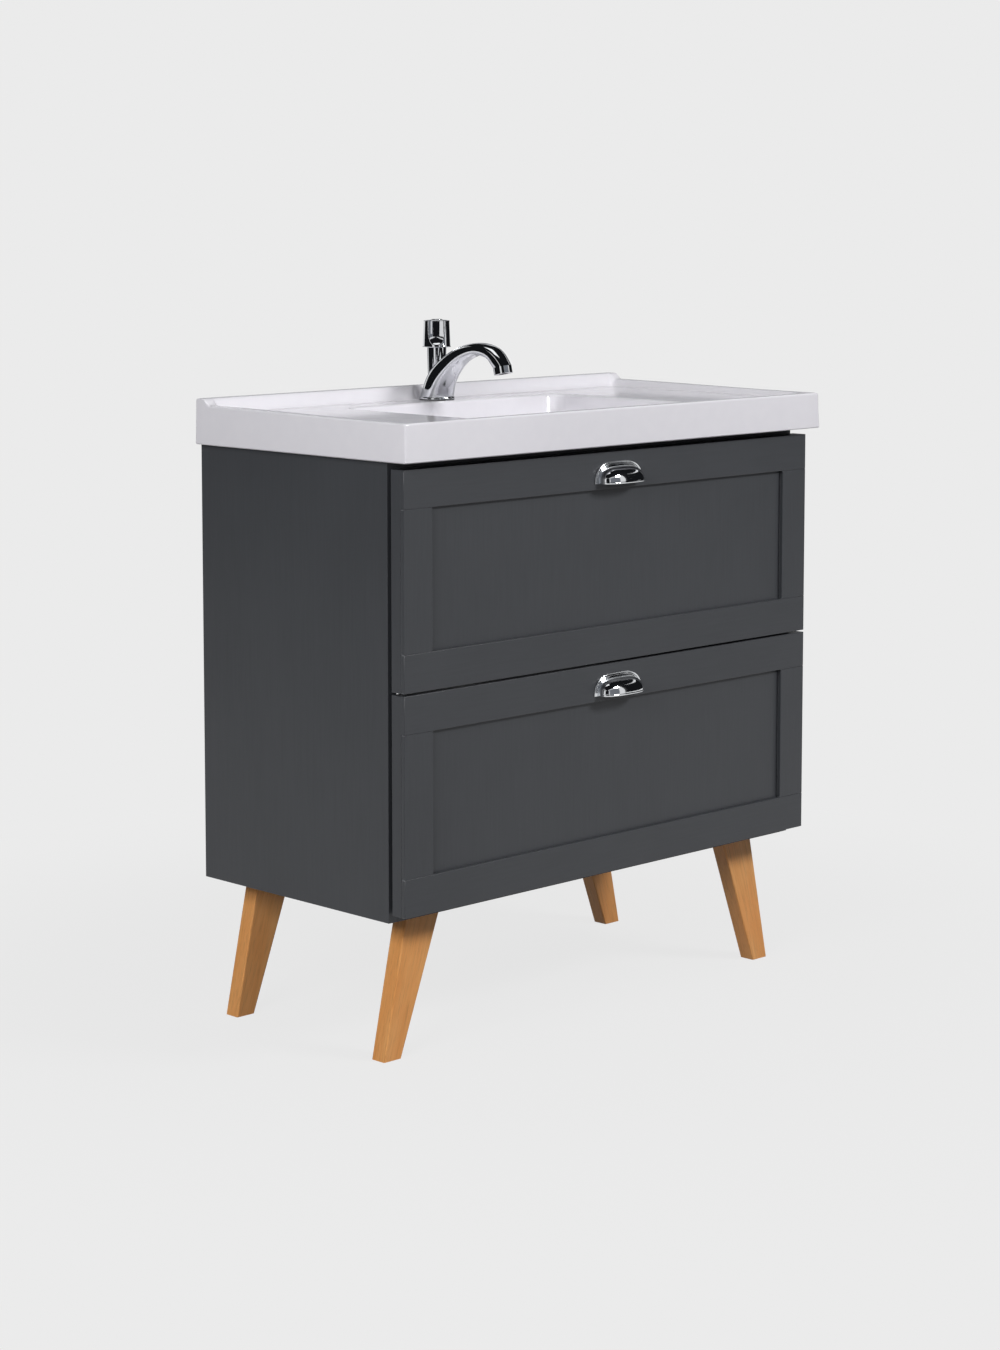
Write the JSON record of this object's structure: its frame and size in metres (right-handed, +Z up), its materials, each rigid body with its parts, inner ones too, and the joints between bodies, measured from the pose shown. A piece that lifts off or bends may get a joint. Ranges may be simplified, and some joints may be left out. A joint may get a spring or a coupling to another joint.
{
  "type": "bathroom vanity cabinet",
  "caption": "Dark grey bathroom vanity with framed drawer fronts and cup pulls, on splayed wooden legs, with a moulded white basin and a chrome pillar tap.",
  "frame": {"origin": "on the floor, under the middle of the overall box", "axes": "+Z up, +X to the right as seen from the front, drawer fronts face -Y"},
  "size_m": [0.8, 0.417, 0.9279],
  "materials": {
    "grey_board": "matt lacquer",
    "grey_front": "satin lacquer",
    "drawer_board": "white melamine",
    "leg_wood": "oiled wood",
    "basin_gelcoat": "glossy gelcoat",
    "chrome": "polished",
    "zinc_steel": "zinc plated",
    "brass": "machined",
    "black_rubber": "moulded",
    "white_plastic": "moulded"
  },
  "bodies": {
    "cabinet": {"side_panel_left": "grey_board", "side_panel_right": "grey_board", "bottom_panel": "grey_board", "front_rail": "grey_board", "back_rail_upper": "grey_board", "back_rail_lower": "grey_board", "leg_front_left": "leg_wood", "leg_front_right": "leg_wood", "leg_rear_left": "leg_wood", "leg_rear_right": "leg_wood", "leg_screws": "zinc_steel", "cam_fittings": "zinc_steel", "basin": "basin_gelcoat", "overflow_ring": "chrome", "drain_flange": "chrome", "drain_gasket": "black_rubber", "drain_nut": "white_plastic", "drain_tail": "white_plastic", "tap_body": "chrome", "tap_aerator": "chrome", "tap_gasket": "black_rubber", "tap_bonnet": "chrome", "tap_cartridge": "brass", "tap_shank": "brass", "tap_nut": "brass", "runner_outer_upper": "zinc_steel", "runner_outer_lower": "zinc_steel", "runner_screws_cabinet": "zinc_steel"},
    "knob": {"tap_knob": "chrome", "tap_spindle": "brass", "knob_cap": "chrome"},
    "upper_drawer": {"upper_panel": "grey_front", "upper_rail_top": "grey_front", "upper_rail_bottom": "grey_front", "upper_stile_left": "grey_front", "upper_stile_right": "grey_front", "upper_pull": "chrome", "upper_pull_screws": "zinc_steel", "upper_side_left": "drawer_board", "upper_side_right": "drawer_board", "upper_bottom": "drawer_board", "upper_back": "drawer_board", "upper_runner_screws": "zinc_steel", "runner_inner_upper": "zinc_steel", "upper_trap_surround": "white_plastic"},
    "lower_drawer": {"lower_panel": "grey_front", "lower_rail_top": "grey_front", "lower_rail_bottom": "grey_front", "lower_stile_left": "grey_front", "lower_stile_right": "grey_front", "lower_pull": "chrome", "lower_pull_screws": "zinc_steel", "lower_side_left": "drawer_board", "lower_side_right": "drawer_board", "lower_bottom": "drawer_board", "lower_back": "drawer_board", "lower_runner_screws": "zinc_steel", "runner_inner_lower": "zinc_steel"},
    "upper_runner": {"runner_middle_upper": "zinc_steel"},
    "lower_runner": {"runner_middle_lower": "zinc_steel"}
  },
  "joints": [
    {"name": "upper_drawer_slide", "type": "slide", "parent": "cabinet", "child": "upper_drawer", "axis": [0, -1, 0], "range_m": [0, 0.28]},
    {"name": "lower_drawer_slide", "type": "slide", "parent": "cabinet", "child": "lower_drawer", "axis": [0, -1, 0], "range_m": [0, 0.28]},
    {"name": "upper_runner_slide", "type": "slide", "parent": "cabinet", "child": "upper_runner", "axis": [0, -1, 0], "range_m": [0, 0.14]},
    {"name": "lower_runner_slide", "type": "slide", "parent": "cabinet", "child": "lower_runner", "axis": [0, -1, 0], "range_m": [0, 0.14]},
    {"name": "knob_turn", "type": "hinge", "parent": "cabinet", "child": "knob", "pos_m": [0, 0.1645, 0.8889], "axis": [0, 0, 1], "range_deg": [0, 90]}
  ],
  "couplings": [
    {"joint": "upper_runner_slide", "follows": "upper_drawer_slide", "ratio": 0.5},
    {"joint": "lower_runner_slide", "follows": "lower_drawer_slide", "ratio": 0.5}
  ]
}
